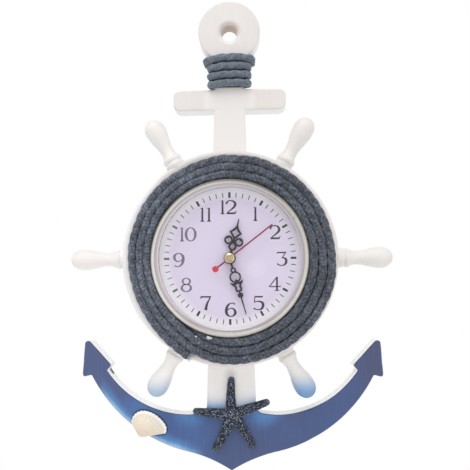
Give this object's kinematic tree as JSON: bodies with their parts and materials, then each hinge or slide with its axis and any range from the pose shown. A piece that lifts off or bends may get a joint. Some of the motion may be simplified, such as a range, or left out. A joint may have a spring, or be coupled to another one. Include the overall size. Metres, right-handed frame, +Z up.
{
  "type": "ship wheel clock",
  "caption": "Nautical wall clock: a painted anchor board with a rope-wrapped neck, and a ship's wheel with turned handles round a quartz clock insert.",
  "frame": {"origin": "on the board's back, at the middle of the anchor's stock", "axes": "+X right as seen from the front, +Z up, and the clock faces -Y"},
  "size_m": [0.2272, 0.0408, 0.3407],
  "materials": {
    "anchor_paint": "off-white and sea-blue paint on board, satin",
    "wheel_paint": "off-white paint, satin",
    "slate_rope": "laid cotton, slate blue",
    "star_grit": "cast resin, dark and grainy",
    "shell_cream": "natural shell, cream",
    "champagne_metal": "polished, pale champagne",
    "white_plastic": "moulded",
    "dial_face": "printed dial, pale lilac white",
    "clear_lens": "clear, domed",
    "black_plastic": "moulded, matt black",
    "black_hand": "stamped, black",
    "red_hand": "stamped, crimson",
    "brass": "polished",
    "gear_plastic": "moulded acetal",
    "steel": "bright",
    "battery_jacket": "plain cell jacket",
    "circuit_green": "circuit board lacquer",
    "copper": "enamelled copper winding"
  },
  "bodies": {
    "clock": {"anchor_board": "anchor_paint", "wheel_rim": "wheel_paint", "handle_right": "wheel_paint", "handle_upper_right": "wheel_paint", "handle_upper_left": "wheel_paint", "handle_left": "wheel_paint", "handle_lower_left": "wheel_paint", "handle_lower_right": "wheel_paint", "rim_rope": "slate_rope", "neck_rope": "slate_rope", "starfish": "star_grit", "scallop_shell": "shell_cream", "clock_can": "white_plastic", "dial": "dial_face", "lens": "clear_lens", "bezel": "champagne_metal", "movement_case": "black_plastic", "movement_cover": "black_plastic", "movement_screw_left": "steel", "movement_screw_right": "steel", "battery": "battery_jacket", "contact_positive": "brass", "contact_negative": "steel", "circuit_board": "circuit_green", "coil": "copper", "spindle_bush": "steel"},
    "hour": {"hour_hand": "black_hand", "hour_wheel": "gear_plastic"},
    "minute": {"minute_hand": "black_hand", "minute_arbor": "brass"},
    "second": {"second_hand": "red_hand", "second_boss": "brass", "second_arbor": "steel"},
    "setting": {"motion_wheel": "gear_plastic", "set_knob": "black_plastic"}
  },
  "joints": [
    {"name": "hour_turn", "type": "hinge", "parent": "clock", "child": "hour", "pos_m": [0, -0.0284, -0.1159], "axis": [0, 1, 0], "continuous": true},
    {"name": "minute_turn", "type": "hinge", "parent": "clock", "child": "minute", "pos_m": [0, -0.0284, -0.1159], "axis": [0, 1, 0], "continuous": true},
    {"name": "second_turn", "type": "hinge", "parent": "clock", "child": "second", "pos_m": [0, -0.0284, -0.1159], "axis": [0, 1, 0], "continuous": true},
    {"name": "setting_turn", "type": "hinge", "parent": "clock", "child": "setting", "pos_m": [0, -0.0063, -0.1063], "axis": [0, 1, 0], "continuous": true}
  ],
  "couplings": [
    {"joint": "hour_turn", "follows": "minute_turn", "ratio": 0.083333},
    {"joint": "setting_turn", "follows": "minute_turn", "ratio": -0.33333}
  ]
}
